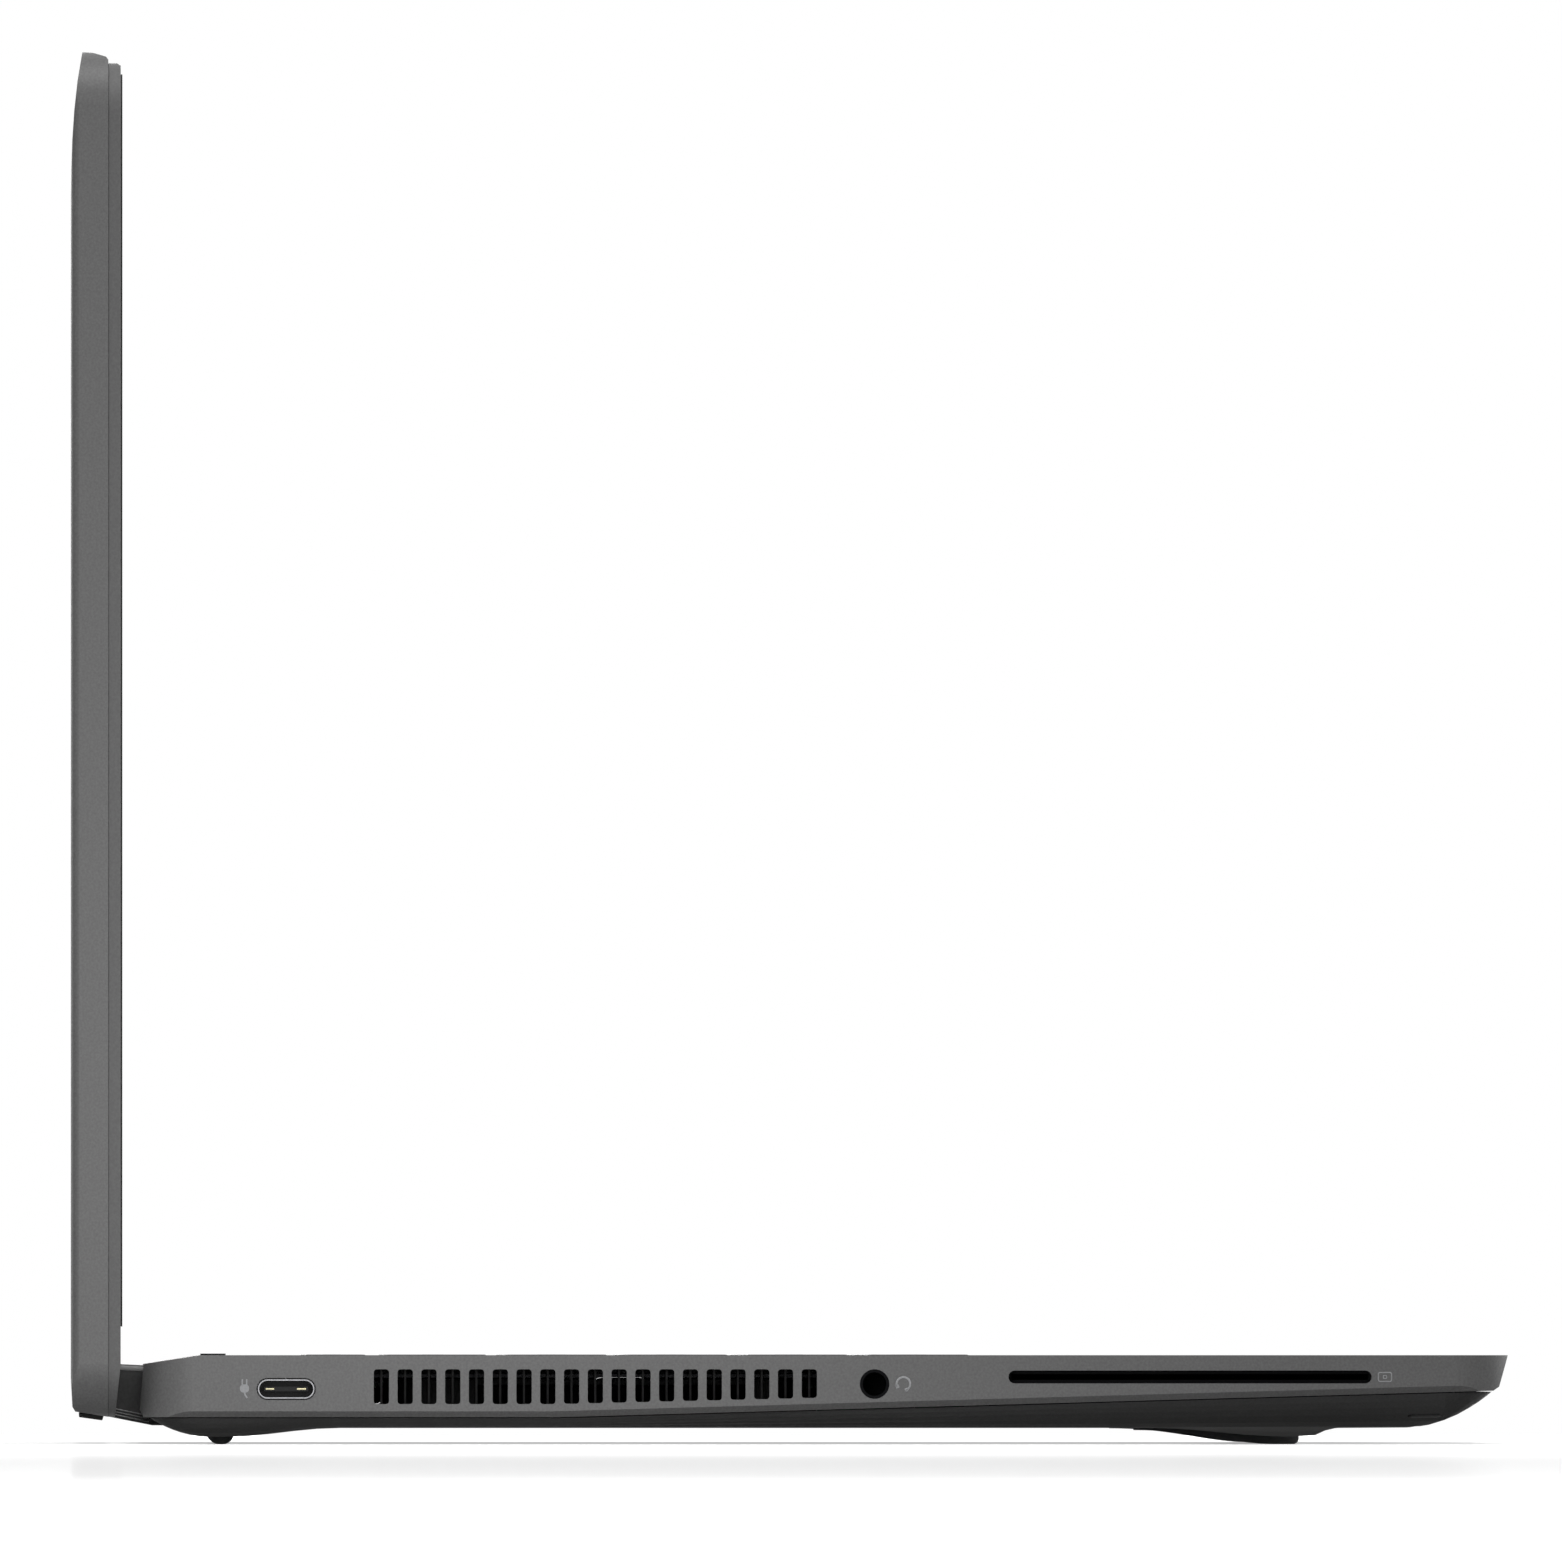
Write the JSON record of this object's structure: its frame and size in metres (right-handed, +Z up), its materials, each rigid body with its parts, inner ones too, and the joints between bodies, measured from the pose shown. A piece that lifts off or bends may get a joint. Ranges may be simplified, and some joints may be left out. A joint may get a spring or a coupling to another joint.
{
  "type": "laptop computer",
  "caption": "Slim clamshell laptop with a metal body, its lid upright on a low drop hinge, with a full keyboard, touchpad and side ports.",
  "frame": {"origin": "on the table under the middle of the whole outline, with the lid upright", "axes": "+X to the user's right, front edge towards -Y, lid at the +Y side, +Z up"},
  "size_m": [0.3214, 0.219, 0.2122],
  "materials": {
    "case_metal": "fine matt blasted metal, dark silver grey",
    "cover_plastic": "dark grey moulded plastic with a fine texture",
    "key_frame_plastic": "black moulded plastic",
    "steel_sheet": "pressed steel sheet",
    "switch_membrane": "pale printed membrane with rubber domes",
    "touchpad_glass": "satin etched glass, dark grey",
    "circuit_board": "green solder mask",
    "socket_metal": "drawn steel shell",
    "jack_plastic": "black moulded plastic",
    "reader_plastic": "black moulded plastic",
    "copper": "plain copper",
    "fin_metal": "thin bare metal fins",
    "fan_plastic": "black moulded plastic",
    "battery_film": "black film over flat cells",
    "speaker_plastic": "black moulded plastic",
    "cable_jacket": "black tape over fine wires",
    "foot_rubber": "soft dark rubber",
    "screw_steel": "blackened steel",
    "hinge_steel": "plated steel",
    "bezel_plastic": "grey moulded plastic",
    "screen_surface": "dark matt anti-glare screen, switched off",
    "camera_black": "black camera with a small glass lens",
    "shutter_plastic": "signal red plastic slider",
    "hinge_cover_plastic": "dark moulded plastic",
    "antenna_foil": "thin copper foil on film",
    "key_plastic": "black key caps with a soft satin coating"
  },
  "bodies": {
    "base": {"top_case": "case_metal", "bottom_cover": "cover_plastic", "keyboard_lattice": "key_frame_plastic", "keyboard_plate": "steel_sheet", "dome_sheet": "switch_membrane", "touchpad_bracket": "steel_sheet", "usb_c_left": "socket_metal", "usb_c_right": "socket_metal", "headset_jack": "jack_plastic", "smart_card_reader": "reader_plastic", "hdmi_port": "socket_metal", "usb_a_port": "socket_metal", "motherboard": "circuit_board", "heat_pipe": "copper", "radiator_fins": "fin_metal", "fan_housing": "fan_plastic", "battery_pack": "battery_film", "solid_state_drive": "circuit_board", "wireless_card": "circuit_board", "speakers": "speaker_plastic", "display_cable_tail": "cable_jacket", "front_foot": "foot_rubber", "rear_foot": "foot_rubber", "deck_bumpers": "foot_rubber", "bottom_screws": "screw_steel", "hinge_brackets": "hinge_steel"},
    "lid": {"lid_cover": "case_metal", "display_bezel": "bezel_plastic", "bezel_gasket": "foot_rubber", "lcd_panel": "screen_surface", "camera_module": "camera_black", "hinge_arms": "hinge_steel", "hinge_pins": "hinge_steel", "hinge_covers": "hinge_cover_plastic", "lid_trim_strip": "hinge_cover_plastic", "display_cable": "cable_jacket", "antennas": "antenna_foil"},
    "camera_shutter": {"camera_shutter": "shutter_plastic"},
    "function_keys": {"function_keys": "key_plastic"},
    "number_keys": {"number_keys": "key_plastic"},
    "backspace_key": {"backspace_key": "key_plastic"},
    "tab_key": {"tab_key": "key_plastic"},
    "upper_letter_keys": {"upper_letter_keys": "key_plastic"},
    "backslash_key": {"backslash_key": "key_plastic"},
    "caps_lock_key": {"caps_lock_key": "key_plastic"},
    "home_letter_keys": {"home_letter_keys": "key_plastic"},
    "enter_key": {"enter_key": "key_plastic"},
    "left_shift_key": {"left_shift_key": "key_plastic"},
    "lower_letter_keys": {"lower_letter_keys": "key_plastic"},
    "right_shift_key": {"right_shift_key": "key_plastic"},
    "modifier_keys": {"modifier_keys": "key_plastic"},
    "space_bar": {"space_bar": "key_plastic"},
    "left_arrow_key": {"left_arrow_key": "key_plastic"},
    "up_arrow_key": {"up_arrow_key": "key_plastic"},
    "down_arrow_key": {"down_arrow_key": "key_plastic"},
    "right_arrow_key": {"right_arrow_key": "key_plastic"},
    "power_button": {"power_button": "key_plastic"},
    "touchpad": {"touchpad_glass": "touchpad_glass", "touchpad_board": "circuit_board"},
    "fan_rotor": {"fan_rotor": "fan_plastic"}
  },
  "joints": [
    {"name": "lid_hinge", "type": "hinge", "parent": "base", "child": "lid", "pos_m": [0, 0.0953, 0.0074], "axis": [-1, 0, 0], "range_deg": [-90, 45]},
    {"name": "function_press", "type": "slide", "parent": "base", "child": "function_keys", "axis": [0, 0, -1], "range_m": [0, 0.0013], "stiffness_N_per_m": 6400, "springref_m": -0.0005},
    {"name": "number_press", "type": "slide", "parent": "base", "child": "number_keys", "axis": [0, 0, -1], "range_m": [0, 0.0013], "stiffness_N_per_m": 5200, "springref_m": -0.0005},
    {"name": "backspace_press", "type": "slide", "parent": "base", "child": "backspace_key", "axis": [0, 0, -1], "range_m": [0, 0.0013], "stiffness_N_per_m": 400, "springref_m": -0.0005},
    {"name": "tab_press", "type": "slide", "parent": "base", "child": "tab_key", "axis": [0, 0, -1], "range_m": [0, 0.0013], "stiffness_N_per_m": 400, "springref_m": -0.0005},
    {"name": "upper_letter_press", "type": "slide", "parent": "base", "child": "upper_letter_keys", "axis": [0, 0, -1], "range_m": [0, 0.0013], "stiffness_N_per_m": 4800, "springref_m": -0.0005},
    {"name": "backslash_press", "type": "slide", "parent": "base", "child": "backslash_key", "axis": [0, 0, -1], "range_m": [0, 0.0013], "stiffness_N_per_m": 400, "springref_m": -0.0005},
    {"name": "caps_lock_press", "type": "slide", "parent": "base", "child": "caps_lock_key", "axis": [0, 0, -1], "range_m": [0, 0.0013], "stiffness_N_per_m": 400, "springref_m": -0.0005},
    {"name": "home_letter_press", "type": "slide", "parent": "base", "child": "home_letter_keys", "axis": [0, 0, -1], "range_m": [0, 0.0013], "stiffness_N_per_m": 4400, "springref_m": -0.0005},
    {"name": "enter_press", "type": "slide", "parent": "base", "child": "enter_key", "axis": [0, 0, -1], "range_m": [0, 0.0013], "stiffness_N_per_m": 400, "springref_m": -0.0005},
    {"name": "left_shift_press", "type": "slide", "parent": "base", "child": "left_shift_key", "axis": [0, 0, -1], "range_m": [0, 0.0013], "stiffness_N_per_m": 400, "springref_m": -0.0005},
    {"name": "lower_letter_press", "type": "slide", "parent": "base", "child": "lower_letter_keys", "axis": [0, 0, -1], "range_m": [0, 0.0013], "stiffness_N_per_m": 4000, "springref_m": -0.0005},
    {"name": "right_shift_press", "type": "slide", "parent": "base", "child": "right_shift_key", "axis": [0, 0, -1], "range_m": [0, 0.0013], "stiffness_N_per_m": 400, "springref_m": -0.0005},
    {"name": "modifier_press", "type": "slide", "parent": "base", "child": "modifier_keys", "axis": [0, 0, -1], "range_m": [0, 0.0013], "stiffness_N_per_m": 2400, "springref_m": -0.0005},
    {"name": "space_bar_press", "type": "slide", "parent": "base", "child": "space_bar", "axis": [0, 0, -1], "range_m": [0, 0.0013], "stiffness_N_per_m": 400, "springref_m": -0.0005},
    {"name": "left_arrow_press", "type": "slide", "parent": "base", "child": "left_arrow_key", "axis": [0, 0, -1], "range_m": [0, 0.0013], "stiffness_N_per_m": 400, "springref_m": -0.0005},
    {"name": "up_arrow_press", "type": "slide", "parent": "base", "child": "up_arrow_key", "axis": [0, 0, -1], "range_m": [0, 0.0013], "stiffness_N_per_m": 400, "springref_m": -0.0005},
    {"name": "down_arrow_press", "type": "slide", "parent": "base", "child": "down_arrow_key", "axis": [0, 0, -1], "range_m": [0, 0.0013], "stiffness_N_per_m": 400, "springref_m": -0.0005},
    {"name": "right_arrow_press", "type": "slide", "parent": "base", "child": "right_arrow_key", "axis": [0, 0, -1], "range_m": [0, 0.0013], "stiffness_N_per_m": 400, "springref_m": -0.0005},
    {"name": "power_button_press", "type": "slide", "parent": "base", "child": "power_button", "axis": [0, 0, -1], "range_m": [0, 0.0006], "stiffness_N_per_m": 800, "springref_m": -0.0005},
    {"name": "touchpad_press", "type": "hinge", "parent": "base", "child": "touchpad", "pos_m": [0, -0.0356, 0.0118], "axis": [1, 0, 0], "range_deg": [0, 0.35], "stiffness_Nm_per_rad": 12, "springref_deg": -0.69},
    {"name": "shutter_slide", "type": "slide", "parent": "lid", "child": "camera_shutter", "axis": [-1, 0, 0], "range_m": [0, 0.0052]},
    {"name": "fan_spin", "type": "hinge", "parent": "base", "child": "fan_rotor", "pos_m": [-0.1137, 0.0296, 0.007], "axis": [0, 0, 1], "continuous": true}
  ]
}
